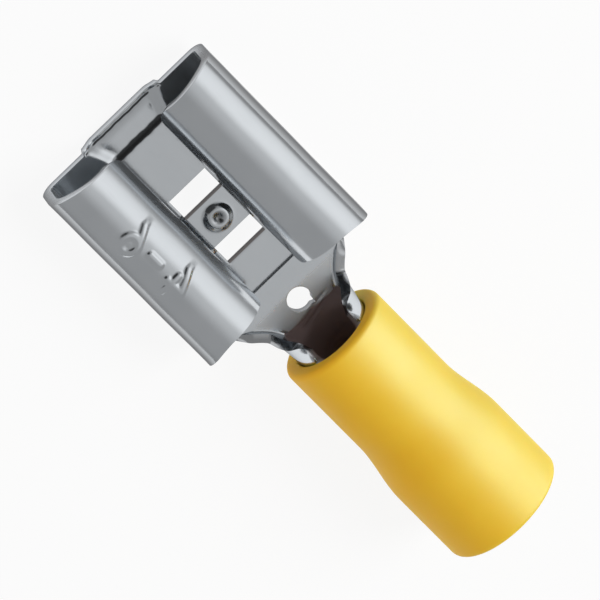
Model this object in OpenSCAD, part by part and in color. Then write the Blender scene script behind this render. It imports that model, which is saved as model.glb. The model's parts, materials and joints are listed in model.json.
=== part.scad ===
// Insulated female spade terminal for a 9.5 x 1.2 mm tab and a 4 to 6 mm2 wire.
// One stamped and folded tin-plated sheet (terminal) in one moulded vinyl sleeve (sleeve).
// The mouth faces -X and the wire goes in from +X. The sleeve's rear end lies on Z = 0.

/* [Sheet] */
// Thickness of the plated brass sheet
sheet_t = 0.5; // [0.4:0.05:0.6]

/* [Tab that it takes] */
// Width of the flat tab
tab_w = 9.5; // [9:0.1:11]
// Thickness of the flat tab
tab_t = 1.2; // [0.8:0.1:1.4]
// Play of the tab at each side, between the rolls
tab_play = 0.2; // [0.1:0.05:0.4]
// How far the rolled edges stand below the tab's upper face, to press on it
tab_grip = 0.1; // [0:0.05:0.2]

/* [Rolls] */
// Height over the rolls, from the underside of the floor
roll_h = 3.4; // [3.2:0.1:4]
// Gap between the two rolled edges
roll_gap = 2.7; // [2:0.1:4]
// Radius of each roll beside its wall, at the middle of the sheet
roll_side_r = 1; // [0.8:0.1:1.2]
// Radius of the fold between floor and wall, at the middle of the sheet
floor_fold_r = 0.5; // [0.4:0.05:0.8]
// Length of a roll along its crest
roll_l = 11.5; // [10:0.5:14]
// How much further the walls run behind the rolls
wall_tail = 0.5; // [0.2:0.1:1]
// How far the rolled edge stands back from the mouth, as a lead-in
mouth_slant = 0.45; // [0.2:0.05:0.6]
// Radius of the rolled edge's corner at the mouth
mouth_corner_r = 0.9; // [0.4:0.1:1]

/* [Floor] */
// Width of the lip at the mouth
lip_w = 5.1; // [4.8:0.1:6]
// How far the lip stands out of the mouth
lip_out = 0.2; // [0.1:0.05:0.5]
// How far the lip is pressed down, below the rest of the floor
lip_drop = 0.25; // [0.1:0.05:0.3]
// Length of the lip behind the mouth
lip_l = 1.15; // [0.8:0.05:2]
// Length of the slope behind the lip
lip_slope_l = 0.45; // [0.2:0.05:0.6]
// Distance of the first slot from the mouth
slot_x = 4.85; // [4:0.1:5.5]
// Length of a slot, along the terminal
slot_l = 1.25; // [0.8:0.05:1.6]
// Width of a slot, across the terminal
slot_w = 2.46; // [2:0.1:3]
// Length of the spring strip between the slots
strip_l = 2.1; // [1.8:0.1:2.6]
// How far the spring strip is raised
strip_rise = 0.2; // [0.1:0.05:0.3]
// Width of the ramp at each end of the strip
strip_ramp = 0.6; // [0.4:0.1:0.8]
// Radius of the locking dimple on the strip
dimple_r = 0.75; // [0.5:0.05:0.85]
// Height of the locking dimple
dimple_h = 0.35; // [0.2:0.05:0.5]
// Distance of the tab stop from the mouth
stop_x = 11.4; // [10.8:0.1:11.4]
// Height of the tab stop, by which the neck lies above the floor
stop_h = 0.2; // [0.1:0.05:0.3]

/* [Neck and barrel] */
// Width of the floor where the neck starts
neck_w = 8.1; // [7:0.1:9]
// Length of the neck, from the walls' end to the sleeve
neck_l = 3.1; // [2.8:0.1:4]
// Turn of the neck's upright flanges
flange_turn = 84; // [70:1:88]
// Turn of the barrel's wings where they go into the sleeve
wing_turn = 136; // [120:1:150]
// Radius of the inspection hole
hole_r = 0.66; // [0.4:0.02:0.8]
// Distance of the inspection hole from the walls' end
hole_x = 1.35; // [1.2:0.05:1.5]
// Length over which the wings close to the barrel, inside the sleeve
closing_l = 1.6; // [1:0.1:2]
// Bore of the wire barrel
barrel_bore = 3.4; // [3:0.1:4]
// Length of the closed barrel
barrel_l = 4.6; // [4:0.1:6]
// Width and depth of the groove along the barrel's seam
seam = 0.12; // [0.05:0.01:0.2]

/* [Sleeve] */
// Length of the sleeve
sleeve_l = 13.5; // [12:0.5:18]
// Wall of the sleeve
sleeve_wall = 0.8; // [0.5:0.05:1.2]
// Bore at the wire end, for the wire's insulation
entry_bore = 5.3; // [4.8:0.1:6.4]
// Gap between barrel and sleeve, all round
sleeve_fit = 0.03; // [0.02:0.01:0.05]
// Length of the wide part at the wire end
entry_l = 4.4; // [3:0.1:6]
// Length of the flare
flare_l = 3.5; // [1.5:0.1:5]
// Radius of the sleeve's rims
rim_r = 0.3; // [0.1:0.05:0.35]
// Radius of the bore's edge at the front rim
bore_rim_r = 0.1; // [0.05:0.05:0.3]

/* [Hidden] */
$fn = 48;

// Sizes that follow from the ones above
half_t = sheet_t / 2;
half_w = tab_w / 2 + tab_play + sheet_t;      // outside of a wall
wall_y = half_w - half_t;                     // middle of a wall's sheet
edge_y = roll_gap / 2 + half_t;               // middle of a rolled edge's round end
edge_z = sheet_t + tab_t - tab_grip + half_t; // its height
crest_z = roll_h - half_t;                    // middle of the sheet at the crest
wall_end = roll_l + wall_tail;
sleeve_x = wall_end + neck_l;
barrel_x = sleeve_x + closing_l;
barrel_ro = barrel_bore / 2 + sheet_t;
barrel_rm = barrel_bore / 2 + half_t;
barrel_z = stop_h + barrel_ro;                // barrel's axis above the floor's underside
sleeve_bore_r = barrel_ro + sleeve_fit;
front_r = sleeve_bore_r + sleeve_wall;
entry_r = entry_bore / 2 + sleeve_wall;
floor_z = max(front_r, entry_r) - barrel_z;   // floor's underside above Z = 0
mid_x = (sleeve_x + sleeve_l - lip_out) / 2;  // brings the middle of the length to X = 0

past = 1;             // how far what cuts reaches past what it cuts
overlap = 0.1;        // how far what is joined reaches into what it joins
above_floor = 0.1;    // what trims the rolls stays this far above the floor

// Headings along a roll's section: 90 up the wall, 180 at the crest, then down to the rolled edge.
// The wide arc starts at heading side_turn and ends where the edge stands edge_z high.
side_turn = 148;
arc_span = wall_y - edge_y - roll_side_r * (1 - sin(side_turn));
arc_fall = (crest_z - edge_z) / arc_span;
edge_turn = atan(arc_fall) + 360
    - acos((arc_fall * sin(side_turn) - 1) / sqrt(1 + arc_fall * arc_fall));
arc_r = arc_span / (sin(side_turn) - sin(edge_turn));
side_z = crest_z - arc_r * (1 + cos(side_turn)) + roll_side_r * cos(side_turn);

function step_list(a, b, n) = [for (i = [0 : n]) a + (b - a) * i / n];
function arc(c, r, angles) = [for (a = angles) [c[0] + r * cos(a), c[1] + r * sin(a)]];
function reversed(list) = [for (i = [len(list) - 1 : -1 : 0]) list[i]];
function mirrored(list) = [for (p = list) [-p[0], p[1]]];
function ease(s) = (1 - cos(180 * s)) / 2;

// One face of the roll's sheet, a distance d outside its middle, from the floor to the rolled edge.
side_c = [wall_y - roll_side_r, side_z];
arc_c = [side_c[0] + (roll_side_r - arc_r) * sin(side_turn),
         side_c[1] - (roll_side_r - arc_r) * cos(side_turn)];
edge_c = arc_c + arc_r * [sin(edge_turn), -cos(edge_turn)];
function roll_face(d) = concat(
    arc([wall_y - floor_fold_r, half_t + floor_fold_r], floor_fold_r + d, step_list(-90, 0, 8)),
    arc(side_c, roll_side_r + d, step_list(0, side_turn - 90, 8)),
    arc(arc_c, arc_r + d, step_list(side_turn - 90, edge_turn - 90, 16)));

// Section of one side: the floor beside the lip, the fold, the wall and the roll.
module side_section() {
    inner_y = lip_w / 2 - 3 * overlap;
    edge_cap = step_list(edge_turn - 70, edge_turn + 70, 6);
    polygon(concat(
        [[inner_y, sheet_t], [inner_y, 0]],
        roll_face(half_t),
        arc(edge_c, half_t, edge_cap),
        reversed(roll_face(-half_t))));
}

// Plan of what is cut away from the rolls: the slanted mouth with its round corner, and the rear end.
module roll_trim(top_x, side_x) {
    crest_y = arc_c[0];
    out_x = side_x + 2 * past;
    out_y = half_w + past;
    polygon([[top_x, 0], [top_x, crest_y], [side_x, half_w], [side_x, out_y],
             [out_x, out_y], [out_x, 0]]);
}
mouth_corner_turn = 170;   // where the round corner meets the slant
module mouth_trim() {
    inner_y = roll_gap / 2;
    corner = [mouth_slant + mouth_corner_r, inner_y + mouth_corner_r];
    polygon(concat(
        [[-past, half_w + past], [-past, 0], [corner[0], 0], [corner[0], inner_y]],
        arc(corner, mouth_corner_r, step_list(-90, -mouth_corner_turn, 6)),
        [[0, half_w], [0, half_w + past]]));
}

floor_end = (stop_x + wall_end) / 2;   // the receptacle's floor ends within the neck's
module one_side() {
    difference() {
        rotate([90, 0, 90]) linear_extrude(wall_end) side_section();
        translate([0, 0, sheet_t + above_floor]) linear_extrude(roll_h) roll_trim(roll_l, wall_end);
        translate([0, 0, -past]) linear_extrude(past + sheet_t + 2 * above_floor)
            roll_trim(floor_end, wall_end + 0.01);
        translate([0, 0, sheet_t + above_floor]) linear_extrude(roll_h) mouth_trim();
    }
}

// Lengthwise section of the floor: the lip, its slope and the floor up to the stop.
module floor_section() {
    lip_top = sheet_t - lip_drop;
    tip_drop = 0.08;
    top = concat(
        [[-lip_out, lip_top - tip_drop], [lip_l / 2, lip_top], [lip_l, lip_top]],
        [for (s = step_list(0, 1, 6)) [lip_l + lip_slope_l * s, lip_top + lip_drop * ease(s)]],
        [[floor_end, sheet_t]]);
    polygon(concat(top, reversed([for (p = top) p - [0, sheet_t]])));
}

module crosswise(width) {
    translate([0, width / 2, 0]) rotate([90, 0, 0]) linear_extrude(width) children();
}

// Raised strip between the slots, with a ramp at each end and the dimple on top.
module strip() {
    flat_y = slot_w / 2;
    foot_y = flat_y + strip_ramp;
    half = [[foot_y + overlap, sheet_t], [foot_y, sheet_t], [flat_y, sheet_t + strip_rise]];
    top = concat(half, mirrored(reversed(half)));
    strip_x = slot_x + slot_l;
    cap_r = (dimple_r * dimple_r + dimple_h * dimple_h) / (2 * dimple_h);
    cap_z = sheet_t + strip_rise + dimple_h - cap_r;
    difference() {
        union() {
            translate([strip_x, 0, 0]) rotate([90, 0, 90]) linear_extrude(strip_l)
                polygon(concat(top, reversed([for (p = top) p - [0, sheet_t]])));
            intersection() {
                translate([strip_x + strip_l / 2, 0, cap_z]) sphere(cap_r);
                translate([strip_x, -dimple_r, sheet_t]) cube([strip_l, 2 * dimple_r, roll_h]);
            }
        }
        translate([strip_x + strip_l / 2, 0, cap_z - sheet_t]) sphere(cap_r);
    }
}

module receptacle() {
    strip_x = slot_x + slot_l;
    ramp_w = slot_w + 2 * strip_ramp;
    one_side();
    mirror([0, 1, 0]) one_side();
    difference() {
        crosswise(lip_w) floor_section();
        for (x = [slot_x, strip_x + strip_l])
            translate([x, -slot_w / 2, -past]) cube([slot_l, slot_w, sheet_t + 2 * past]);
        translate([strip_x, -ramp_w / 2, -past]) cube([strip_l, ramp_w, sheet_t + 2 * past]);
    }
    strip();
}

// The neck is lofted. At a length x, its section is a channel with a flat floor, a fold up to the
// flanges and a wide curl inwards above the fold. The floor draws in as a power of the way left to
// the sleeve. Behind the hole, the channel's headings blend into the barrel's, which grow evenly
// with the width, and the blank widens to the barrel's wings, which close inside the sleeve.
closed_turn = 179;
draw_power = 2.1;
curl_r = 2.6;
loft_t = sheet_t - 0.04;
ring_steps = 22;
function soft(range, x) = let (t = max(0, min(1, (x - range[0]) / (range[1] - range[0]))))
    t * t * (3 - 2 * t);
function mixed(a, b, share) = a + (b - a) * share;
function arc_l(r, turn) = r * turn * PI / 180;
function arc_turn(r, l) = l / r * 180 / PI;
// Lengths along the neck between which the flanges turn up, the blank widens to the wings and the
// channel blends into the barrel, and from which the sides draw in
function along_neck(share) = wall_end + neck_l * share;
flange_x = [along_neck(0.1), along_neck(0.36)];
wings_x = [along_neck(0.53), along_neck(0.84)];
blend_x = [along_neck(0.72), along_neck(0.99)];
draw_x = along_neck(0.11);
function side_y(x) = mixed(barrel_rm, neck_w / 2,
    pow(max(0, min(1, (sleeve_x - x) / (sleeve_x - draw_x))), draw_power));
function fold_turn(x) = flange_turn * soft(flange_x, x);
function barrel_turn(x) = mixed(wing_turn, closed_turn, soft([sleeve_x, barrel_x], x));
function barrel_share(x) = soft(blend_x, x);
function channel_w(x) = side_y(x) - floor_fold_r * sin(fold_turn(x)) + arc_l(floor_fold_r, fold_turn(x));
function blank_w(x) = mixed(channel_w(x), arc_l(barrel_rm, barrel_turn(x)), soft(wings_x, x));
// Headings across a section, at a width w on the blank
function channel_heading(x, w) =
    let (beyond = w - channel_w(x), fold_l = max(0.001, arc_l(floor_fold_r, fold_turn(x))))
    fold_turn(x) * soft([-0.1, 1.1], 1 + beyond / fold_l) + arc_turn(curl_r, max(0, beyond));
function heading(x, w) = mixed(channel_heading(x, w), arc_turn(barrel_rm, w), barrel_share(x));
// Middle of the sheet, as the sum of short steps in the heading: [y, z, heading]
function middle(x) = let (step = blank_w(x) / ring_steps)
    [for (i = 0, y = 0, z = 0; i <= ring_steps;
          y = y + step * cos(heading(x, (i + 0.5) * step)),
          z = z + step * sin(heading(x, (i + 0.5) * step)), i = i + 1)
        [y, z, heading(x, i * step)]];
// Where the sides draw in, their section is wider than the sheet is thick.
function across(x) = let (slope = (side_y(x + 0.02) - side_y(x - 0.02)) / 0.04) sqrt(1 + slope * slope);
function half_ring(x, d) = [for (p = middle(x))
    [x, p[0] + d * across(x) * sin(p[2]), stop_h + half_t + p[1] - d * cos(p[2])]];
function ring(x, d) = let (half = half_ring(x, d)) concat(
    [for (i = [ring_steps : -1 : 1]) [x, -half[i][1], half[i][2]]], half);
function section(x) = concat(ring(x, loft_t / 2), reversed(ring(x, -loft_t / 2)));

module loft(sections) {
    n = len(sections[0]);
    last = len(sections) - 1;
    points = [for (s = sections) each s];
    sides = [for (k = [0 : last - 1], i = [0 : n - 1])
        each [[k * n + i, (k + 1) * n + i, (k + 1) * n + (i + 1) % n],
              [k * n + i, (k + 1) * n + (i + 1) % n, k * n + (i + 1) % n]]];
    ends = [for (k = [0, last], i = [0 : n / 2 - 2])
        let (a = k * n + i, b = a + 1, d = k * n + n - 1 - i, c = d - 1)
        each (k == 0 ? [[a, b, c], [a, c, d]] : [[a, c, b], [a, d, c]])];
    polyhedron(points, concat(sides, ends));
}

module neck() {
    neck_steps = 24;
    closing_steps = 6;
    difference() {
        loft([for (x = concat([stop_x], step_list(flange_x[0], sleeve_x, neck_steps),
                              step_list(sleeve_x + closing_l / closing_steps, barrel_x, closing_steps - 1),
                              [barrel_x + 3 * overlap])) section(x)]);
        translate([wall_end + hole_x, 0, -past]) cylinder(h = roll_h, r = hole_r);
    }
}

module barrel() {
    difference() {
        cylinder(h = barrel_l, r = barrel_ro);
        translate([0, 0, -past]) cylinder(h = barrel_l + 2 * past, r = barrel_bore / 2);
        translate([barrel_ro, 0, 0]) rotate([0, 0, 45])
            cube([seam * sqrt(2), seam * sqrt(2), 2 * barrel_l + past], center = true);
    }
}

module terminal() {
    color("silver") translate([-mid_x, 0, floor_z]) {
        receptacle();
        neck();
        translate([barrel_x, 0, barrel_z]) rotate([0, -90, 180]) barrel();
    }
}

// Half section of the sleeve, as radius against length from its front rim.
module sleeve_section() {
    flare_x = sleeve_l - entry_l - flare_l;
    taper_x = barrel_l + closing_l + overlap;
    outer = concat(
        arc([front_r - rim_r, rim_r], rim_r, step_list(-90, 0, 5)),
        [for (s = step_list(0, 1, 10)) [front_r + (entry_r - front_r) * ease(s), flare_x + flare_l * s]],
        arc([entry_r - rim_r, sleeve_l - rim_r], rim_r, step_list(0, 90, 5)));
    inner = concat(
        arc([sleeve_bore_r + bore_rim_r, bore_rim_r], bore_rim_r, step_list(-90, -180, 5)),
        [for (s = step_list(0, 1, 10))
            [sleeve_bore_r + (entry_bore / 2 - sleeve_bore_r) * ease(s), taper_x + flare_l * s]],
        arc([entry_bore / 2 + rim_r, sleeve_l - rim_r], rim_r, step_list(180, 90, 5)));
    polygon(concat(outer, reversed(inner)));
}

module sleeve() {
    color("gold") translate([sleeve_x - mid_x, 0, floor_z + barrel_z])
        rotate([90, 0, 90]) rotate_extrude() sleeve_section();
}

terminal();
sleeve();
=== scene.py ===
"""Looks of an insulated female spade terminal: a folded tin-plated sheet in a vinyl sleeve.

The sheet is worked out as the flat blank that it is stamped from. Every point of the blank has a
length x along the terminal, from its mouth, and a width s across it, from its middle. The folding
functions carry it to its place in the rolls, the neck or the barrel. Lengths are in millimetres
until a mesh is made.
"""
import json

import bpy
import numpy as np
from mathutils import Matrix, Vector


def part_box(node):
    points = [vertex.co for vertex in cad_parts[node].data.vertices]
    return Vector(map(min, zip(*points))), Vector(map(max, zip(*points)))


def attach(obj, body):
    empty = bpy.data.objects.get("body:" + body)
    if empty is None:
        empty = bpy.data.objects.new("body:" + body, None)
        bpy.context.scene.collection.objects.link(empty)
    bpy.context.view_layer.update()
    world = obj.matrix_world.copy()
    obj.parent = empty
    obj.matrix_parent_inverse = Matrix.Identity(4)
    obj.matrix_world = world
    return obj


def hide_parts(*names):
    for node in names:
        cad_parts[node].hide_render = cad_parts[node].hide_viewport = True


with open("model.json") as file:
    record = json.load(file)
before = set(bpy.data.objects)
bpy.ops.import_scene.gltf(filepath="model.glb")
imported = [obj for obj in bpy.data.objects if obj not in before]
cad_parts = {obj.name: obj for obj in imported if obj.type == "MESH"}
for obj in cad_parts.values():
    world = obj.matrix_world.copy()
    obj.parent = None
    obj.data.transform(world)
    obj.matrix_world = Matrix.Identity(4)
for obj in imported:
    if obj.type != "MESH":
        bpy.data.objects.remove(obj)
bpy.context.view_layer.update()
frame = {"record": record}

MM = 0.001


def box_mm(node):
    """Lowest and highest corner of a node, in millimetres."""
    return [np.array(corner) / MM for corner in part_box(node)]


def mount(name):
    """The record's mount of that name: its place in millimetres and its dimensions."""
    found = next(m for m in frame["record"]["mounts"] if m["name"] == name)
    return np.array(found["pos_m"]) / MM, found["dims"]


# ---------------------------------------------------------------- sizes
sheet_lo, sheet_hi = box_mm("terminal")
sleeve_lo, sleeve_hi = box_mm("sleeve")
barrel_at, barrel_dims = mount("wire_barrel")
_, entry_dims = mount("insulation_entry")

SHEET_T = 0.5
HALF_T = SHEET_T / 2
EDGE_SOFT = 0.06                      # rounding of the sheet's cut edges

LIP_OUT, LIP_DROP, LIP_L, LIP_SLOPE_L, LIP_TIP = 0.2, 0.25, 1.15, 0.45, 0.08
LIP_W = 5.1
LIP_SIDE_W, LIP_SIDE_IN, LIP_SIDE_L = 1.8, 0.4, 0.7     # half width, its draw-in, its soft side
LIP_ENDS = LIP_W / 2 - 0.07, LIP_W / 2 + 0.07           # widths between which the lip ends
MOUTH_X = sheet_lo[0] + LIP_OUT
FLOOR_Z = sheet_lo[2] + LIP_DROP + LIP_TIP

HALF_W = sheet_hi[1]
ROLL_H, ROLL_GAP, ROLL_L, WALL_END = 3.4, 2.7, 11.5, 12.0
FOLD_R, SIDE_R = 0.5, 1.0
TAB_T, TAB_GRIP = 1.2, 0.1
MOUTH_SLANT, MOUTH_R, REAR_R = 0.45, 0.9, 0.3           # REAR_R: a roll's corner at its rear

SLOT_X, SLOT_L, SLOT_W, STRIP_L = 4.85, 1.25, 2.46, 2.1
STRIP_X, STRIP_END_X = SLOT_X + SLOT_L, SLOT_X + SLOT_L + STRIP_L
SLOTS_END_X = STRIP_END_X + SLOT_L
STRIP_RISE, STRIP_RAMP, STRIP_SOFT = 0.2, 0.6, 0.3      # ramps beside, before and behind it
DIMPLE_R, DIMPLE_H = 0.75, 0.35       # in the middle of the strip
STOP_X, STOP_H = 11.4, 0.2
HOLE_X, HOLE_R = 13.35, 0.66
NOTCH_TURN, NOTCH_R, NOTCH_DEPTH = 0.62, 0.13, 0.2      # torn place in the hole's rim

BARREL_RM = barrel_dims["r_mm"] + HALF_T
BARREL_END = barrel_at[0] + barrel_dims["length_mm"] / 2 - MOUTH_X
RIM_X = sleeve_lo[0] - MOUTH_X        # front rim of the sleeve, from the mouth
FILLET_R = 0.35                       # between a wall's rear edge and the neck's flange
NECK_X = WALL_END + FILLET_R

wall_y = HALF_W - HALF_T
flat_y = wall_y - FOLD_R
edge_y = ROLL_GAP / 2 + HALF_T
edge_z = SHEET_T + TAB_T - TAB_GRIP + HALF_T
crest_z = ROLL_H - HALF_T

# A roll's heading is 90 degrees up the wall, 180 at the crest, and more on the way down to the
# rolled edge. The wide arc starts at side_turn and ends where the edge stands edge_z high.
side_turn = np.radians(148)
arc_span = wall_y - edge_y - SIDE_R * (1 - np.sin(side_turn))
arc_fall = (crest_z - edge_z) / arc_span
edge_turn = (np.arctan(arc_fall) + 2 * np.pi
             - np.arccos((arc_fall * np.sin(side_turn) - 1) / np.hypot(1, arc_fall)))
arc_r = arc_span / (np.sin(side_turn) - np.sin(edge_turn))
side_z = crest_z - arc_r * (1 + np.cos(side_turn)) + SIDE_R * np.cos(side_turn)
fold_c = np.array([flat_y, HALF_T + FOLD_R])
side_c = np.array([wall_y - SIDE_R, side_z])
arc_c = side_c + (SIDE_R - arc_r) * np.array([np.sin(side_turn), -np.cos(side_turn)])

# Widths on the blank at which the fold, the wall, the two arcs and the sheet end.
s_fold = flat_y + FOLD_R * np.pi / 2
s_wall = s_fold + side_z - fold_c[1]
s_side = s_wall + SIDE_R * (side_turn - np.pi / 2)
s_edge = s_side + arc_r * (edge_turn - side_turn)
s_crest = s_side + arc_r * (np.pi - side_turn)
s_neck = 4.05                         # half width of the blank where the neck starts

# The neck's flanges turn up by FLANGE_TURN over FLANGE_L and curl in round CURL_R. The blank gets
# the barrel's width over WIDEN, and the section the barrel's form over CLOSE. The wings turn by
# WING_TURN degrees at the sleeve's rim and come nearly together WING_L behind it.
FLANGE_TURN, FLANGE_L, CURL_R = np.radians(84), 0.75, 2.6
DRAW_IN = 2.1                         # power with which the neck's sides draw in
WIDEN, CLOSE = (13.65, 14.6), (14.23, 15.07)
WING_TURN, CLOSED_TURN, WING_L = 136, 179, 1.6


def soft_step(low, high, value):
    """0 below low, 1 above high, and a soft S between them."""
    t = np.clip((value - low) / (high - low), 0, 1)
    return t * t * (3 - 2 * t)


def stations(*stretches):
    """Grid lines over stretches of (start, end, count), each end shared with the next start."""
    lines = [np.linspace(a, b, n + 1)[:-1] for a, b, n in stretches]
    return np.append(np.concatenate(lines), stretches[-1][1])


# ---------------------------------------------------------------- folding
def fold_rolls(s):
    """Middle of the sheet between the mouth and the walls' end, at a width s.

    Flat to flat_y, a quarter turn of radius FOLD_R, a straight wall, an arc of radius SIDE_R to
    the heading side_turn, and an arc of radius arc_r down to the rolled edge.
    """
    w = np.abs(s)
    a_fold = (w - flat_y) / FOLD_R - np.pi / 2
    a_side = (w - s_wall) / SIDE_R
    a_arc = side_turn - np.pi / 2 + (w - s_side) / arc_r
    on = [w <= flat_y, w <= s_fold, w <= s_wall, w <= s_side]
    y = np.select(on, [w, fold_c[0] + FOLD_R * np.cos(a_fold), np.full_like(w, wall_y),
                       side_c[0] + SIDE_R * np.cos(a_side)], arc_c[0] + arc_r * np.cos(a_arc))
    z = np.select(on, [np.full_like(w, HALF_T), fold_c[1] + FOLD_R * np.sin(a_fold),
                       fold_c[1] + w - s_fold, side_c[1] + SIDE_R * np.sin(a_side)],
                  arc_c[1] + arc_r * np.sin(a_arc))
    return np.copysign(y, s), z


def neck_form(x):
    """Half width and turn of the flanged channel, and the barrel's share, at a length x.

    The sides draw in as a power of the way left to the sleeve's rim, and the flanges turn up
    behind the walls. The barrel's share grows softly from behind the hole to the sleeve.
    """
    t = np.clip((x - NECK_X) / (RIM_X - NECK_X), 0, 1)
    side = BARREL_RM + (s_neck - BARREL_RM) * (1 - t) ** DRAW_IN
    turn = FLANGE_TURN * soft_step(NECK_X - 0.02, NECK_X + FLANGE_L, x)
    return side - FOLD_R * np.sin(turn), turn, soft_step(*CLOSE, x)


def neck_width(x):
    """Half width of the blank: the channel's with its flanges, then the barrel's with its wings."""
    flat, turn, _ = neck_form(x)
    channel = flat + FOLD_R * turn
    wings = np.radians(WING_TURN + (CLOSED_TURN - WING_TURN) * soft_step(RIM_X, RIM_X + WING_L, x))
    return channel + (BARREL_RM * wings - channel) * soft_step(*WIDEN, x)


def fold_neck(x, s):
    """Middle of the sheet in the neck and barrel.

    The channel's heading is level on the floor, turns up round a fold of radius FOLD_R and curls
    in from there round CURL_R. The barrel's heading grows evenly with the width. The sheet follows
    the mean of both, weighted by the barrel's share: its place is the sum of short steps.
    """
    flat, turn, share = neck_form(x)
    steps = 60
    y, z = np.zeros(np.shape(s)), np.full(np.shape(s), HALF_T)
    for k in range(steps):
        w = np.abs(s) * (k + 0.5) / steps
        past = w - flat - FOLD_R * turn
        channel = turn * soft_step(-0.1, 1.1, 1 + past / np.maximum(FOLD_R * turn, 1e-6))
        channel = channel + np.maximum(past, 0) / CURL_R
        heading = (1 - share) * channel + share * w / BARREL_RM
        y = y + np.cos(heading) * np.abs(s) / steps
        z = z + np.sin(heading) * np.abs(s) / steps
    return np.copysign(y, s), z


def fold(x, s):
    """Place of the middle of the sheet, as an array of points."""
    y_roll, z_roll = fold_rolls(s)
    y_neck, z_neck = fold_neck(x, s)
    behind = x > NECK_X + 1e-9
    return np.stack([x, np.where(behind, y_neck, y_roll), np.where(behind, z_neck, z_roll)], -1)


# ---------------------------------------------------------------- relief
GROOVES = 14.22, 14.5, 16.1, 17.5, 18.9
GROOVE_SLANT, GROOVE_R, GROOVE_DEPTH = -0.22, 0.07, 0.06
GROOVE_ENDS = 0.8, 1.3                # widths over which the grooves run out
CREASE_X, CREASE_R, CREASE_DEPTH = -0.03, 0.06, 0.06    # along the lip's front
PIT_R, PIT_DEPTH = 0.32, 0.32
DIMPLE_SINK, FOOT_SOFT = 0.05, 0.002  # the dimple lies lower on the under face; its foot's rounding
LIP_WAVE, ROLL_WAVE = 0.05, 0.012     # unevenness of the lip's slope and of the rolls
# Start and length of the tab stop's step behind STOP_X, on the upper and on the under face.
STOP_STEPS = {True: (0, 0.04), False: (0.1, 0.25)}


def dimple_cap(x, s, sink):
    """Height of a round cap of radius DIMPLE_R and height DIMPLE_H, sunk by sink, foot rounded.

    The punch left a small soft pit in its top.
    """
    cap_r = (DIMPLE_R ** 2 + DIMPLE_H ** 2) / (2 * DIMPLE_H)
    away = np.hypot(x - STRIP_X - STRIP_L / 2, s)
    cap = np.sqrt(np.maximum(cap_r ** 2 - away ** 2, 0)) - (cap_r - DIMPLE_H) - sink
    pit = PIT_DEPTH * np.exp(-(away / PIT_R) ** 2)
    return (0.5 * (cap + np.sqrt(cap * cap + FOOT_SOFT)) - pit) * (away < 1.4 * DIMPLE_R)


def pressed(x, s, upper):
    """Height that is pressed into the sheet at (x, s), for its upper or its under face.

    The lip lies low, with a slightly wavy slope behind it, soft sides and a crease along its
    front. The strip between the slots stands up with a ramp at each side and a dimple on top.
    Grooves run across the barrel's inside.
    """
    w = np.abs(s)
    side = LIP_SIDE_W - LIP_SIDE_IN * np.clip(x / LIP_L, 0, 1)
    wave = LIP_WAVE * np.sin(3.1 * s) * np.sin(7 * s + 1)
    slope = soft_step(LIP_L + 0.03, LIP_L + LIP_SLOPE_L, x + 0.6 * wave)
    lip = (1 - slope) * (1 - soft_step(side, side + LIP_SIDE_L, w))
    crease = (CREASE_DEPTH * np.exp(-((x - CREASE_X + 0.4 * wave) / CREASE_R) ** 2)
              * upper * (w < LIP_W / 2))
    tip = (1 - soft_step(-LIP_OUT, LIP_L / 2, x)) * (1 - soft_step(side, LIP_W / 2, w))
    along = (soft_step(STRIP_X - STRIP_SOFT, STRIP_X, x)
             * (1 - soft_step(STRIP_END_X, STRIP_END_X + STRIP_SOFT, x)))
    strip = along * (1 - soft_step(SLOT_W / 2, SLOT_W / 2 + STRIP_RAMP, w))
    grooves = sum(np.exp(-((x - at - GROOVE_SLANT * s) / GROOVE_R) ** 2) for at in GROOVES)
    groove = GROOVE_DEPTH * grooves * upper * (x > NECK_X) * (1 - soft_step(*GROOVE_ENDS, w))
    return (-LIP_DROP * lip - LIP_TIP * tip - crease + STRIP_RISE * strip
            + dimple_cap(x, s, 0 if upper else DIMPLE_SINK) - groove)


def stop_lift(x, s, upper):
    """Height of the floor and all behind it over the tab stop's step, which is sheared on top."""
    behind, reach = STOP_STEPS[upper]
    stop = soft_step(STOP_X + behind, STOP_X + behind + reach, x)
    beside = (1 - soft_step(WALL_END - 0.4, NECK_X + 0.1, x))
    beside = beside * soft_step(0.8, 1, np.abs(s) / s_neck)
    return STOP_H * stop * (1 - beside)


def stroke(px, py, ax, ay, bx, by):
    """Distance from points (px, py) to the straight stroke from (ax, ay) to (bx, by)."""
    t = np.clip(((px - ax) * (bx - ax) + (py - ay) * (by - ay))
                / ((bx - ax) ** 2 + (by - ay) ** 2), 0, 1)
    return np.hypot(px - ax - t * (bx - ax), py - ay - t * (by - ay))


def ring(px, py, cx, cy, r):
    """Distance from points (px, py) to the circle of radius r round (cx, cy)."""
    return np.abs(np.hypot(px - cx, py - cy) - r)


MARK_H = 1.6                          # height of the wire sizes pressed into one roll
MARK_S = -s_crest                     # width on the blank at their middle
MARK_X = 5.5                          # length at their middle
MARK_REACH = 0.85                     # half of the width that they and their close grid take
MARK_STROKE, MARK_RISE = 0.17, 0.09


def wire_sizes(x, s):
    """Height of the numerals 4-6, read from the barrel to the mouth with their feet inwards.

    The height falls off softly with the distance from the nearest stroke.
    """
    px = (MARK_X - x) / MARK_H
    py = -(s - MARK_S) / MARK_H
    four = np.minimum(np.minimum(stroke(px, py, -1.0, 0.5, -1.35, -0.15),
                                 stroke(px, py, -1.35, -0.15, -0.72, -0.15)),
                      stroke(px, py, -0.9, 0.15, -0.9, -0.5))
    dash = stroke(px, py, -0.2, 0, 0.25, 0)
    six = np.minimum(ring(px, py, 0.98, -0.2, 0.28), stroke(px, py, 0.72, -0.1, 1.05, 0.5))
    near = np.minimum(np.minimum(four, dash), six) * MARK_H
    return MARK_RISE * (1 - soft_step(MARK_STROKE * 0.45, MARK_STROKE * 1.5, near))


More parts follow.
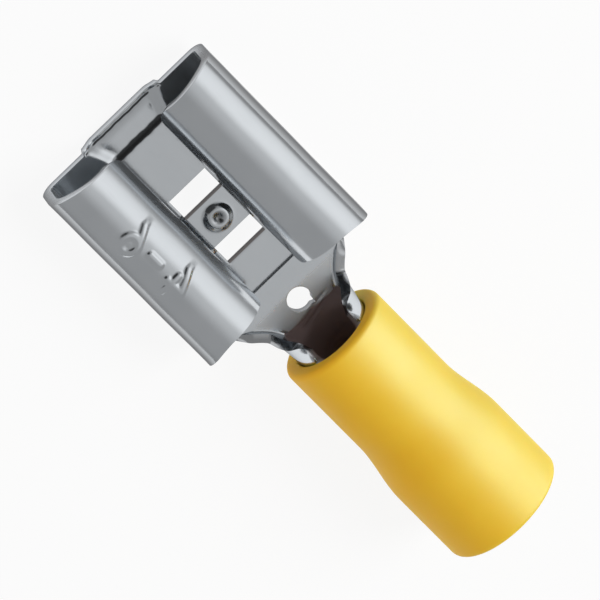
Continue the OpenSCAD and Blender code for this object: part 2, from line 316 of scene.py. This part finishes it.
# ---------------------------------------------------------------- the blank as a mesh
def mouth_line(s):
    """Length at which the blank starts: lip, straight mouth, slant and round corner."""
    w = np.abs(s)
    lip = -LIP_OUT * (1 - soft_step(*LIP_ENDS, w))
    slant = MOUTH_SLANT * soft_step(s_side - 0.6, s_edge - 0.3, w)
    into = np.clip((w - (s_edge - MOUTH_R)) / MOUTH_R, 0, 1)
    return lip + slant + MOUTH_R * (1 - np.sqrt(1 - into ** 2))


def rear_line(s):
    """Length at which the rolls and walls end, with the fillet to the neck and a small corner."""
    w = np.abs(s)
    down = np.clip((w - s_neck) / FILLET_R, 0, 1)
    fillet = FILLET_R * (1 - np.sqrt(1 - (1 - down) ** 2))
    crest = (WALL_END - ROLL_L) * soft_step(s_wall - 0.2, s_crest, w)
    into = np.clip((w - (s_edge - REAR_R)) / REAR_R, 0, 1)
    return WALL_END + fillet - crest - REAR_R * (1 - np.sqrt(1 - into ** 2))


half_lines = stations((0, SLOT_W / 2, 14), (SLOT_W / 2, SLOT_W / 2 + STRIP_RAMP, 6),
                      (SLOT_W / 2 + STRIP_RAMP, LIP_ENDS[0], 6), (*LIP_ENDS, 2),
                      (LIP_ENDS[1], s_neck, 14),
                      (s_neck, s_neck + FILLET_R, 6), (s_neck + FILLET_R, flat_y, 3),
                      (flat_y, s_fold, 9), (s_fold, s_wall, 6), (s_wall, s_side, 10))
# Closer lines towards the rolled edge, for the round corner at the mouth, and under the numerals.
end_lines = s_edge - MOUTH_R * (1 - np.array([0.15, 0.3, 0.45, 0.58, 0.7, 0.8, 0.87, 0.93, 1]))
plain_lines = stations((s_side, s_edge - MOUTH_R, 14))[1:]
mark_in, mark_out = -MARK_S - MARK_REACH, -MARK_S + MARK_REACH
marked_lines = stations((s_side, mark_in, 2), (mark_in, mark_out, 28),
                        (mark_out, s_edge - MOUTH_R, 3))[1:]

right_side = np.concatenate([half_lines, plain_lines, end_lines])
left_side = np.concatenate([half_lines, marked_lines, end_lines])
widths = np.concatenate([-left_side[:0:-1], right_side])
lengths = stations((-LIP_OUT, -0.13, 1), (-0.13, 0.09, 8), (0.09, LIP_L, 9),
                   (LIP_L, LIP_L + LIP_SLOPE_L, 12),
                   (LIP_L + LIP_SLOPE_L, 3.3, 14), (3.3, SLOT_X, 22),
                   (SLOT_X, STRIP_X, 18), (STRIP_X, STRIP_END_X, 34),
                   (STRIP_END_X, SLOTS_END_X, 10), (SLOTS_END_X, STOP_X - 0.02, 14),
                   (STOP_X - 0.02, STOP_X + 0.06, 5), (STOP_X + 0.06, NECK_X, 9))
neck_lengths = stations((NECK_X, 13.3, 14), (13.3, 14.7, 30), (14.7, RIM_X, 5),
                        (RIM_X, RIM_X + 1.8, 14), (RIM_X + 1.8, BARREL_END, 40))


BEND_REACH = 2.2                      # length over which the rows bend to the outline


def shift(lines, low, high, at_low, at_high, reach):
    """Grid lines moved so that low goes to at_low and high to at_high, fading over reach."""
    front = np.clip(1 - (lines - low) / reach, 0, 1) ** 2
    back = np.clip(1 - (high - lines) / reach, 0, 1) ** 2
    return lines + (at_low - low) * front + (at_high - high) * back


# Rolls and floor: rows of lengths, bent to the outline at the mouth and at the rear.
roll_x = shift(lengths[:, None], -LIP_OUT, NECK_X, mouth_line(widths)[None],
               rear_line(widths)[None], BEND_REACH)
roll_s = np.broadcast_to(widths, roll_x.shape)
# Neck and barrel: the middle columns go on, drawn in to the blank's own width.
middle = np.abs(widths) <= s_neck + 1e-6
neck_x = np.broadcast_to(neck_lengths[1:, None], (len(neck_lengths) - 1, middle.sum()))
neck_s = widths[middle][None] * neck_width(neck_lengths[1:, None]) / s_neck

roll_ids = np.arange(roll_x.size).reshape(roll_x.shape)
neck_ids = np.vstack([roll_ids[-1, middle],
                      roll_x.size + np.arange(neck_x.size).reshape(neck_x.shape)])
blank_x = np.concatenate([roll_x.ravel(), neck_x.ravel()])
blank_s = np.concatenate([roll_s.ravel(), neck_s.ravel()])


def cells(ids):
    """Quads of a grid of point numbers."""
    return np.stack([ids[:-1, :-1], ids[1:, :-1], ids[1:, 1:], ids[:-1, 1:]], -1)


roll_cells = cells(roll_ids)
mid_x = (lengths[1:, None] + lengths[:-1, None]) / 2
mid_s = np.abs(widths[1:] + widths[:-1])[None] / 2
in_slot = (((mid_x > SLOT_X) & (mid_x < STRIP_X))
           | ((mid_x > STRIP_END_X) & (mid_x < SLOTS_END_X)))
roll_quads = roll_cells[~(in_slot & (mid_s < SLOT_W / 2))]

# The inspection hole: a block of cells is left out, and rings go from its border to the hole.
HOLE_FRONT, HOLE_REAR, HOLE_SIDE = 0.22, 0.25, 0.64     # room for the rings round it
neck_cells = cells(neck_ids)
neck_columns = widths[middle]
row_0, row_1 = np.searchsorted(neck_lengths, (HOLE_X - HOLE_R - HOLE_FRONT,
                                              HOLE_X + HOLE_R + HOLE_REAR))
col_0, col_1 = np.flatnonzero(np.abs(neck_columns) < HOLE_R + HOLE_SIDE)[[0, -1]]
keep = np.ones(neck_cells.shape[:2], bool)
keep[row_0:row_1, col_0:col_1] = False
neck_quads = neck_cells[keep]
border = np.concatenate([neck_ids[row_0, col_0:col_1], neck_ids[row_0:row_1, col_1],
                         neck_ids[row_1, col_1:col_0:-1], neck_ids[row_1:row_0:-1, col_0]])
b_x, b_s = blank_x[border], blank_s[border]
turn_at = np.arctan2(b_s, b_x - HOLE_X)
rim_r = HOLE_R + NOTCH_DEPTH * np.exp(-((turn_at - NOTCH_TURN) / NOTCH_R) ** 2)
rings = 7
t_ring = (np.arange(1, rings + 1) / rings)[:, None]
h_x = b_x + (HOLE_X + rim_r * np.cos(turn_at) - b_x) * t_ring
h_s = b_s + (rim_r * np.sin(turn_at) - b_s) * t_ring
ring_ids = np.vstack([border, blank_x.size + np.arange(h_x.size).reshape(h_x.shape)])
ring_ids = np.hstack([ring_ids, ring_ids[:, :1]])
ring_quads = cells(ring_ids).reshape(-1, 4)
blank_x = np.concatenate([blank_x, h_x.ravel()])
blank_s = np.concatenate([blank_s, h_s.ravel()])
blank_quads = np.concatenate([roll_quads.reshape(-1, 4), neck_quads.reshape(-1, 4), ring_quads])


def face_normals(points, quads):
    """Normals of quads from the cross product of their diagonals, with their area as length."""
    a, b, c, d = (points[quads[:, k]] for k in range(4))
    return np.cross(c - a, d - b)


def point_normals(points, quads):
    """Unit normals of points: the sum of the normals of the quads that meet there."""
    normals = np.zeros_like(points)
    np.add.at(normals, quads, face_normals(points, quads)[:, None])
    return normals / np.maximum(np.linalg.norm(normals, axis=1, keepdims=True), 1e-12)


def border_edges(quads):
    """Edges that only one quad has, in that quad's direction."""
    edges = np.stack([quads, np.roll(quads, -1, 1)], -1).reshape(-1, 2)
    _, index, count = np.unique(np.sort(edges, 1), axis=0, return_index=True, return_counts=True)
    return edges[index[count == 1]]


def add_mesh(name, points, quads, material):
    """Mesh object from points in millimetres, in the frame's own place, with smooth faces."""
    mesh = bpy.data.meshes.new(name)
    mesh.from_pydata((points * MM).tolist(), [], quads.tolist())
    mesh.polygons.foreach_set("use_smooth", np.ones(len(quads), bool))
    mesh.materials.append(material)
    mesh.update()
    piece = bpy.data.objects.new(name, mesh)
    bpy.context.scene.collection.objects.link(piece)
    return piece


def folded_sheet(material):
    """Both faces of the folded blank, half its thickness off its middle, joined along its edges.

    The relief is pressed along the sheet's own direction. The cut edges get a weight for the bevel.
    """
    middle_points = fold(blank_x, blank_s)
    inward = point_normals(middle_points, blank_quads)
    if inward[np.argmin(np.abs(blank_x - 3) + np.abs(blank_s)), 2] < 0:
        inward = -inward
    on_roll = blank_x < NECK_X
    marks = -wire_sizes(blank_x, blank_s) * on_roll
    wave = (ROLL_WAVE * np.sin(blank_x * 1.3 + 0.6 * np.sin(blank_s * 0.9))
            * np.sin(blank_s * 0.7 + 1.1) * soft_step(flat_y, s_wall, np.abs(blank_s)) * on_roll)
    lift = {True: HALF_T + pressed(blank_x, blank_s, True) + marks + wave,
            False: -HALF_T + pressed(blank_x, blank_s, False) + marks + wave}
    faces = [middle_points + inward * lift[upper][:, None]
             + np.outer(stop_lift(blank_x, blank_s, upper), (0, 0, 1)) for upper in (True, False)]
    points = np.concatenate(faces) + (MOUTH_X, 0, FLOOR_Z)
    count = len(blank_x)
    upward = face_normals(middle_points, blank_quads)
    order = blank_quads if (upward * inward[blank_quads[:, 0]]).sum() > 0 else blank_quads[:, ::-1]
    rim = border_edges(order)
    sides = np.stack([rim[:, 1], rim[:, 0], rim[:, 0] + count, rim[:, 1] + count], -1)
    quads = np.concatenate([order, order[:, ::-1] + count, sides])
    piece = add_mesh("folded_sheet", points, quads, material)
    mesh = piece.data
    edges = np.empty(len(mesh.edges) * 2, np.int32)
    mesh.edges.foreach_get("vertices", edges)
    edges = np.sort(edges.reshape(-1, 2), 1)
    cut = np.sort(np.concatenate([rim, rim + count]), 1)
    key = edges[:, 0].astype(np.int64) * (2 * count) + edges[:, 1]
    weight = np.isin(key, cut[:, 0].astype(np.int64) * (2 * count) + cut[:, 1]).astype(np.float32)
    mesh.attributes.new("bevel_weight_edge", "FLOAT", "EDGE").data.foreach_set("value", weight)
    soft = piece.modifiers.new("softened cut edges", "BEVEL")
    soft.limit_method = "WEIGHT"
    soft.width = EDGE_SOFT * MM
    soft.segments = 2
    return piece


# ---------------------------------------------------------------- sleeve
FRONT_R = 3.03
ENTRY_R = sleeve_hi[1]
SLEEVE_L = sleeve_hi[0] - sleeve_lo[0]
BORE_R = BARREL_RM + HALF_T + 0.03
ENTRY_BORE_R = entry_dims["r_mm"]
FLARE_X, FLARE_L, TAPER_X, TAPER_L = SLEEVE_L - 7.9, 3.5, 6.3, 3.5
RIM_R, BORE_RIM_R = 0.3, 0.1


def vinyl_sleeve(material):
    """Sleeve turned from its half section, with round rims and a long soft flare.

    The section gives the radius against the length, along the outside and back along the bore.
    """
    def flare(x, start, length, low, high):
        return low + (high - low) * soft_step(start, start + length, x)
    quarter = np.linspace(0, np.pi / 2, 7)
    out_x = stations((RIM_R, FLARE_X, 12), (FLARE_X, FLARE_X + FLARE_L, 20),
                     (FLARE_X + FLARE_L, SLEEVE_L - RIM_R, 10))[1:-1]
    in_x = stations((SLEEVE_L - RIM_R, TAPER_X + TAPER_L, 6), (TAPER_X + TAPER_L, TAPER_X, 12),
                    (TAPER_X, BORE_RIM_R, 8))[1:-1]
    section = np.concatenate([
        np.stack([RIM_R - RIM_R * np.cos(quarter), FRONT_R - RIM_R + RIM_R * np.sin(quarter)], 1),
        np.stack([out_x, flare(out_x, FLARE_X, FLARE_L, FRONT_R, ENTRY_R)], 1),
        np.stack([SLEEVE_L - RIM_R + RIM_R * np.sin(quarter),
                  ENTRY_R - RIM_R + RIM_R * np.cos(quarter)], 1),
        np.stack([SLEEVE_L - RIM_R + RIM_R * np.cos(quarter),
                  ENTRY_BORE_R + RIM_R - RIM_R * np.sin(quarter)], 1),
        np.stack([in_x, flare(in_x, TAPER_X, TAPER_L, BORE_R, ENTRY_BORE_R)], 1),
        np.stack([BORE_RIM_R - BORE_RIM_R * np.sin(quarter),
                  BORE_R + BORE_RIM_R - BORE_RIM_R * np.cos(quarter)], 1)])
    around = np.linspace(0, 2 * np.pi, 144, endpoint=False)
    x, r = section[:, 0][:, None], section[:, 1][:, None]
    points = np.stack([x + 0 * around + sleeve_lo[0], r * np.cos(around),
                       r * np.sin(around) + barrel_at[2]], -1)
    ids = np.arange(points[..., 0].size).reshape(points.shape[:2])
    ids = np.vstack([ids, ids[:1]])
    ids = np.hstack([ids, ids[:, :1]])
    quads = cells(ids).reshape(-1, 4)[:, ::-1]
    return add_mesh("vinyl_sleeve", points.reshape(-1, 3), quads, material)


# ---------------------------------------------------------------- materials
class Nodes:
    """Short way to add and link shader nodes in one tree."""

    def __init__(self, tree):
        self.tree = tree

    def add(self, kind, inputs=None, **settings):
        node = self.tree.nodes.new(kind)
        for key, value in settings.items():
            setattr(node, key, value)
        for key, value in (inputs or {}).items():
            if isinstance(value, bpy.types.NodeSocket):
                self.tree.links.new(value, node.inputs[key])
            else:
                node.inputs[key].default_value = value
        return node

    def math(self, operation, a, b=0.0, clamp=False):
        return self.add("ShaderNodeMath", {0: a, 1: b}, operation=operation,
                        use_clamp=clamp).outputs[0]

    def fade(self, value, low, high, to_low=0.0, to_high=1.0):
        return self.add("ShaderNodeMapRange", {"Value": value, "From Min": low, "From Max": high,
                                               "To Min": to_low, "To Max": to_high},
                        interpolation_type="SMOOTHSTEP").outputs[0]

    def mix(self, factor, a, b):
        node = self.add("ShaderNodeMix", {"Factor": factor}, data_type="RGBA")
        for key, value in (("A", a), ("B", b)):
            socket = next(s for s in node.inputs if s.name == key and s.type == "RGBA")
            if isinstance(value, bpy.types.NodeSocket):
                self.tree.links.new(value, socket)
            else:
                socket.default_value = (*value, 1)
        return next(s for s in node.outputs if s.type == "RGBA")

    def noise(self, vector, scale, detail=2.0, roughness=0.5):
        return self.add("ShaderNodeTexNoise", {"Vector": vector, "Scale": scale, "Detail": detail,
                                               "Roughness": roughness}).outputs["Fac"]


def new_material(name):
    """Empty material with a Principled shader, and its node helper."""
    material = bpy.data.materials.new(name)
    material.use_nodes = True
    tree = material.node_tree
    tree.nodes.clear()
    nodes = Nodes(tree)
    shader = nodes.add("ShaderNodeBsdfPrincipled")
    output = nodes.add("ShaderNodeOutputMaterial")
    tree.links.new(shader.outputs[0], output.inputs[0])
    return material, nodes, shader


def handling_marks():
    """Group for both finishes: soft unevenness and fine scuffs on Object coordinates."""
    group = bpy.data.node_groups.new("handling_marks", "ShaderNodeTree")
    for name, low, high, value in (("Unevenness scale", 0, 10000, 300.0),
                                   ("Scuff scale", 0, 50000, 3000.0), ("Scuff amount", 0, 1, 0.4)):
        socket = group.interface.new_socket(name, in_out="INPUT", socket_type="NodeSocketFloat")
        socket.min_value, socket.max_value, socket.default_value = low, high, value
    for name in ("Uneven", "Scuffs"):
        group.interface.new_socket(name, in_out="OUTPUT", socket_type="NodeSocketFloat")
    nodes = Nodes(group)
    given = nodes.add("NodeGroupInput")
    place = nodes.add("ShaderNodeTexCoord").outputs["Object"]
    uneven = nodes.noise(place, given.outputs["Unevenness scale"], 3)
    drawn = nodes.add("ShaderNodeMapping", {"Vector": place, "Scale": (0.12, 1, 1)}).outputs[0]
    fine = nodes.noise(drawn, given.outputs["Scuff scale"], 4, 0.6)
    scuffs = nodes.math("MULTIPLY", nodes.fade(fine, 0.52, 0.75), given.outputs["Scuff amount"])
    nodes.add("NodeGroupOutput", {"Uneven": uneven, "Scuffs": scuffs})
    return group


marks_group = handling_marks()


TIN_CLOUDS = (0.665, 0.70, 0.73), (0.75, 0.78, 0.81)
# Colours of the painted shade on the plating, of bare cut metal (at the slots also painted shade)
# and of the barrel's dark inside.
TIN_PAINTED_SHADE, BARE_CUT_AND_SHADE, BARREL_DARK = (0.27, 0.274, 0.278), (0.16, 0.15, 0.145), (0.29, 0.208, 0.197)
VINYL_CLOUDS = (0.825, 0.565, 0.02), (0.865, 0.61, 0.03)


def tin_plate():
    """Bright tin plating: soft clouds in the gloss, fine drawn lines, painted shade, bare cut edges
    that carry painted shade at the slots, and a darker barrel inside.
    """
    material, nodes, shader = new_material("tin_plate")
    marks = nodes.add("ShaderNodeGroup", {"Unevenness scale": 420.0, "Scuff scale": 9000.0,
                                          "Scuff amount": 0.35}, node_tree=marks_group)
    uneven, scuffs = marks.outputs["Uneven"], marks.outputs["Scuffs"]
    inside = nodes.add("ShaderNodeAttribute", attribute_name="barrel_inside").outputs["Fac"]
    cut = nodes.add("ShaderNodeAttribute", attribute_name="bare_cut_and_shade").outputs["Fac"]
    satin = nodes.add("ShaderNodeAttribute", attribute_name="satin").outputs["Fac"]
    painted_shade = nodes.add("ShaderNodeAttribute", attribute_name="painted_shade").outputs["Fac"]
    plate = nodes.mix(uneven, *TIN_CLOUDS)
    # Painted shade darkens the plating in the dimple's pit, on the lip's slope, inside the rolls
    # and on the walls' outside.
    plate = nodes.mix(painted_shade, plate, TIN_PAINTED_SHADE)
    # Bare cut-metal colour on the cut edges; its full strength at the slots is painted shade.
    plate = nodes.mix(cut, plate, BARE_CUT_AND_SHADE)
    plate = nodes.mix(inside, plate, BARREL_DARK)
    rough = nodes.fade(uneven, 0.3, 0.7, 0.13, 0.2)
    rough = nodes.math("MAXIMUM", rough, nodes.math("MULTIPLY", satin, 0.42))
    rough = nodes.math("ADD", rough, nodes.math("MULTIPLY", scuffs, 0.25))
    rough = nodes.math("ADD", rough, nodes.math("MULTIPLY", inside, 0.3))
    height = nodes.math("ADD", uneven, nodes.math("MULTIPLY", scuffs, 0.05))
    metal = nodes.fade(inside, 0.0, 1.0, 1.0, 0.1)
    metal = nodes.math("SUBTRACT", metal, nodes.math("MULTIPLY", satin, 0.3), True)
    bump = nodes.add("ShaderNodeBump", {"Height": height, "Strength": 0.25, "Distance": 0.00004})
    tree = nodes.tree
    tree.links.new(plate, shader.inputs["Base Color"])
    tree.links.new(rough, shader.inputs["Roughness"])
    tree.links.new(bump.outputs[0], shader.inputs["Normal"])
    tree.links.new(metal, shader.inputs["Metallic"])
    shader.inputs["Specular Tint"].default_value = (0.42, 0.42, 0.43, 1)
    return material


def yellow_vinyl():
    """Moulded yellow vinyl: satin, a little cloudy, with a faint moulded texture."""
    material, nodes, shader = new_material("yellow_vinyl")
    marks = nodes.add("ShaderNodeGroup", {"Unevenness scale": 350.0, "Scuff scale": 2500.0,
                                          "Scuff amount": 0.5}, node_tree=marks_group)
    uneven, scuffs = marks.outputs["Uneven"], marks.outputs["Scuffs"]
    colour = nodes.mix(uneven, *VINYL_CLOUDS)
    rough = nodes.fade(uneven, 0.3, 0.7, 0.5, 0.58)
    rough = nodes.math("ADD", rough, nodes.math("MULTIPLY", scuffs, 0.1))
    place = nodes.add("ShaderNodeTexCoord").outputs["Object"]
    grain = nodes.noise(place, 5000.0, 2)
    height = nodes.math("ADD", uneven, nodes.math("MULTIPLY", grain, 0.12))
    bump = nodes.add("ShaderNodeBump", {"Height": height, "Strength": 0.3, "Distance": 0.00005})
    tree = nodes.tree
    tree.links.new(colour, shader.inputs["Base Color"])
    tree.links.new(rough, shader.inputs["Roughness"])
    tree.links.new(bump.outputs[0], shader.inputs["Normal"])
    shader.inputs["Subsurface Weight"].default_value = 0.25
    shader.inputs["Subsurface Radius"].default_value = (1.0, 0.6, 0.1)
    shader.inputs["Subsurface Scale"].default_value = 0.0006
    shader.inputs["Specular IOR Level"].default_value = 0.36
    return material


sheet = folded_sheet(tin_plate())
sleeve = vinyl_sleeve(yellow_vinyl())


def paint(piece, name, domain, values):
    """Number per point or face of a piece, for its material to read."""
    layer = piece.data.attributes.new(name, "FLOAT", domain)
    layer.data.foreach_set("value", values.astype(np.float32))


INSIDE_X = 14.02, 14.22               # the inside turns dark, behind the hole
NECK_SATIN_X, NECK_SATIN_W = (12.2, 13.2), (0.8, 1.15)  # widths as shares of the floor's
STEP_SATIN, EDGE_SATIN = 0.6, 0.3
# Strength of the painted shade inside the left and the right roll and on the walls' outside.
LEFT_ROLL_PAINTED_SHADE, RIGHT_ROLL_PAINTED_SHADE, WALL_PAINTED_SHADE = 0.05, 0.75, 0.9
# Amount of bare cut-metal colour at each kind of edge; the slots' full amount is painted shade.
HOLE_CUT, SLOT_CUT_AND_SHADE, MOUTH_CUT, OTHER_CUT = 0.5, 1.0, 0.12, 0.45


def finish_sheet(piece):
    """Where each finish of the plating and the painted shade lie, as numbers from 0 to 1 on the
    sheet's two faces.

    barrel_inside: the dark inside of neck and barrel, from behind the hole.
    satin: a softer gloss on the neck's floor, inside the rolls, on the tab stop's step and, on the
    outside, along the rolled edges.
    Painted shade: a dark pit in the dimple, a dark band on the lip's slope, darker insides of the
    rolls, the right one much more than the left, and darker outsides of the walls.
    The cut edges: bare metal colour, whose amount by place is partly painted shade: most at the
    slots and least at the mouth.
    """
    width = np.abs(blank_s)
    on_roll = blank_x < NECK_X
    inside = soft_step(*INSIDE_X, blank_x - 0.1 * width)
    paint(piece, "barrel_inside", "POINT", np.concatenate([inside, 0 * inside]))

    neck_floor = 1 - soft_step(*NECK_SATIN_W, width / neck_form(blank_x)[0])
    neck_floor = soft_step(*NECK_SATIN_X, blank_x) * neck_floor * (1 - inside)
    in_roll = soft_step(flat_y - 0.3, s_fold, width) * on_roll
    step = STEP_SATIN * (np.abs(blank_x - STOP_X - 0.02) < 0.045)
    satin = np.maximum.reduce([neck_floor, in_roll, step])
    rolled_edge = EDGE_SATIN * soft_step(s_edge - 0.9, s_edge - 0.3, width)
    paint(piece, "satin", "POINT", np.concatenate([satin, rolled_edge]))

    # Painted shade: a dark spot in the dimple's pit.
    from_pit = np.hypot(blank_x - STRIP_X - STRIP_L / 2 + 0.06, blank_s)
    pit = np.exp(-(from_pit / (PIT_R + 0.01)) ** 4)
    # Painted shade: a dark band across the middle of the lip's slope.
    slope_x = LIP_L + 0.62 * LIP_SLOPE_L
    slope = (np.exp(-((blank_x - slope_x) / 0.1) ** 2)
             * (1 - soft_step(LIP_W / 2 - 0.5, LIP_W / 2, width)))
    # Painted shade inside the rolls, much stronger in the right roll than in the left.
    shaded = soft_step(s_fold, s_wall, width) * on_roll
    shaded = shaded * np.where(blank_s > 0, RIGHT_ROLL_PAINTED_SHADE, LEFT_ROLL_PAINTED_SHADE)
    # Painted shade on the outside of the walls.
    wall = soft_step(flat_y, s_fold, width) * (1 - soft_step(s_wall + 0.4, s_side + 0.1, width))
    wall = WALL_PAINTED_SHADE * wall * (blank_x < NECK_X + 0.1)
    paint(piece, "painted_shade", "POINT", np.concatenate([np.maximum.reduce([pit, slope, shaded]), wall]))

    # Bare cut-metal colour on the cut edges, with painted shade in its amount: most at the slots.
    rim_x, rim_s = [values[border_edges(blank_quads)[:, 0]] for values in (blank_x, blank_s)]
    at_hole = np.hypot(rim_x - HOLE_X, rim_s) < HOLE_R + 0.3
    at_slot = (np.abs(rim_s) < SLOT_W / 2 + 0.01) & (rim_x > SLOT_X - 1) & (rim_x < SLOTS_END_X + 1)
    cut = np.select([at_hole, at_slot, rim_x < 1.5], [HOLE_CUT, SLOT_CUT_AND_SHADE, MOUTH_CUT], OTHER_CUT)
    paint(piece, "bare_cut_and_shade", "FACE", np.concatenate([np.zeros(2 * len(blank_quads)), cut]))


finish_sheet(sheet)

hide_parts("terminal")
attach(sheet, "root")
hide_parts("sleeve")
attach(sleeve, "root")

# ---------------------------------------------------------------- floor, light and camera
REST_TILT = np.radians(1.8)           # the part rests on the sleeve's wide end and the lip
TOUCH_X, FLOOR_GAP, FLOOR_SIZE, FLOOR_GLOW = 0.0101, 0.00005, 2.0, 0.9


def pale_floor():
    """Flat floor under the sleeve's wide end and the lip, and its pale paint."""
    rise = np.tan(REST_TILT)
    x = np.array([-1, 1, 1, -1]) * FLOOR_SIZE
    y = np.array([-1, -1, 1, 1]) * FLOOR_SIZE
    z = -(x - TOUCH_X) * rise - FLOOR_GAP
    mesh = bpy.data.meshes.new("floor")
    mesh.from_pydata(np.stack([x, y, z], 1).tolist(), [], [(0, 1, 2, 3)])
    floor = bpy.data.objects.new("floor", mesh)
    bpy.context.scene.collection.objects.link(floor)
    material, nodes, shader = new_material("floor_paint")
    shader.inputs["Base Color"].default_value = (0.93, 0.93, 0.93, 1)
    shader.inputs["Roughness"].default_value = 0.9
    ray = nodes.add("ShaderNodeLightPath").outputs
    glow = nodes.add("ShaderNodeEmission", {"Color": (1, 1, 1, 1), "Strength": 1.0})
    seen = nodes.math("MAXIMUM", ray["Is Camera Ray"], ray["Is Glossy Ray"])
    seen = nodes.math("MAXIMUM", seen, ray["Is Transmission Ray"])
    share = nodes.math("MULTIPLY", seen, FLOOR_GLOW)
    mixed = nodes.add("ShaderNodeMixShader", {0: share, 1: shader.outputs[0], 2: glow.outputs[0]})
    output = next(node for node in nodes.tree.nodes if node.type == "OUTPUT_MATERIAL")
    nodes.tree.links.new(mixed.outputs[0], output.inputs[0])
    mesh.materials.append(material)


pale_floor()

AIM = Vector((-0.0009, 0.0, 0.002))
TILT, SWING, ROLL = np.radians(67.91), np.radians(5.71), np.radians(45.25)
DISTANCE, VIEW_WIDTH, SENSOR = 0.339, 0.03, 36.0
back = Vector((-np.cos(TILT) * np.cos(SWING), np.cos(TILT) * np.sin(SWING), np.sin(TILT)))
along = (Vector((1, 0, 0)) - back.x * back).normalized()
across = back.cross(along)
right = np.cos(ROLL) * along + np.sin(ROLL) * across
up = -np.sin(ROLL) * along + np.cos(ROLL) * across
camera_data = bpy.data.cameras.new("camera")
camera_data.sensor_width = SENSOR
camera_data.lens = SENSOR * DISTANCE / VIEW_WIDTH
camera_data.clip_start, camera_data.clip_end = 0.01, 10
camera = bpy.data.objects.new("camera", camera_data)
bpy.context.scene.collection.objects.link(camera)
turned = Matrix((right, up, back)).transposed().to_4x4()
camera.matrix_world = Matrix.Translation(AIM + back * DISTANCE) @ turned
bpy.context.scene.camera = camera


def soft_lamp(name, place, size, power, colour=(1, 1, 1)):
    """Square lamp that faces the object."""
    data = bpy.data.lights.new(name, "AREA")
    data.shape, data.size, data.energy, data.color = "SQUARE", size, power, colour
    lamp = bpy.data.objects.new(name, data)
    bpy.context.scene.collection.objects.link(lamp)
    lamp.location = place
    lamp.rotation_euler = (-Vector(place)).to_track_quat("-Z", "Y").to_euler()
    return lamp


key = soft_lamp("key", (0.09, 0.16, 0.17), 0.16, 0.36)
fill = soft_lamp("fill", (-0.12, -0.14, 0.12), 0.16, 0.19, (1.0, 0.5, 0.08))
gloss = soft_lamp("gloss", (0.08, 0.2, 0.12), 0.36, 4.0, (0.58, 0.98, 1.0))
key.visible_glossy = fill.visible_glossy = gloss.visible_diffuse = False
# The fill and the gloss only light the vinyl, so the plating keeps its neutral grey.
vinyl_only = bpy.data.collections.new("vinyl_only")
vinyl_only.objects.link(sleeve)
fill.light_linking.receiver_collection = vinyl_only
gloss.light_linking.receiver_collection = vinyl_only

STUDIO_LEVEL, STUDIO_LEAST = 0.36, 0.04
# Direction, inner and outer half angle in degrees, and what the lobe adds to the level.
STUDIO_LOBES = (((0.37, 0.67, 0.65), 12, 32, 0.45), ((0.37, 0.44, 0.82), 5, 40, 0.16),
                ((0.37, 0.03, 0.93), 2, 24, 0.09), ((-1.0, 0.0, 0.85), 22, 36, -0.36))


def studio_world():
    """Grey studio round the object, as a sum of soft lobes.

    Bright lobes overhead and to one side make the bands along the rolls, and a dark one ahead
    shades the slopes that face it.
    """
    world = bpy.data.worlds.new("studio")
    world.use_nodes = True
    bpy.context.scene.world = world
    tree = world.node_tree
    tree.nodes.clear()
    nodes = Nodes(tree)
    way = nodes.add("ShaderNodeTexCoord").outputs["Generated"]
    level = nodes.add("ShaderNodeValue").outputs[0]
    level.default_value = STUDIO_LEVEL

    def lobe(direction, inner, outer, strength):
        unit = tuple(Vector(direction).normalized())
        product = nodes.add("ShaderNodeVectorMath", {0: way, 1: unit}, operation="DOT_PRODUCT")
        return nodes.fade(product.outputs["Value"], np.cos(np.radians(outer)),
                          np.cos(np.radians(inner)), 0.0, strength)

    for direction, inner, outer, strength in STUDIO_LOBES:
        level = nodes.math("ADD", level, lobe(direction, inner, outer, strength))
    level = nodes.math("MAXIMUM", level, STUDIO_LEAST)
    seen = nodes.add("ShaderNodeLightPath").outputs["Is Camera Ray"]
    mixed = nodes.add("ShaderNodeMix", {"Factor": seen, 2: level, 3: 1.0}, data_type="FLOAT")
    background = nodes.add("ShaderNodeBackground", {"Color": (1, 1, 1, 1),
                                                    "Strength": mixed.outputs[0]})
    output = nodes.add("ShaderNodeOutputWorld")
    tree.links.new(background.outputs[0], output.inputs[0])


studio_world()

bpy.context.scene.view_settings.view_transform = "Standard"
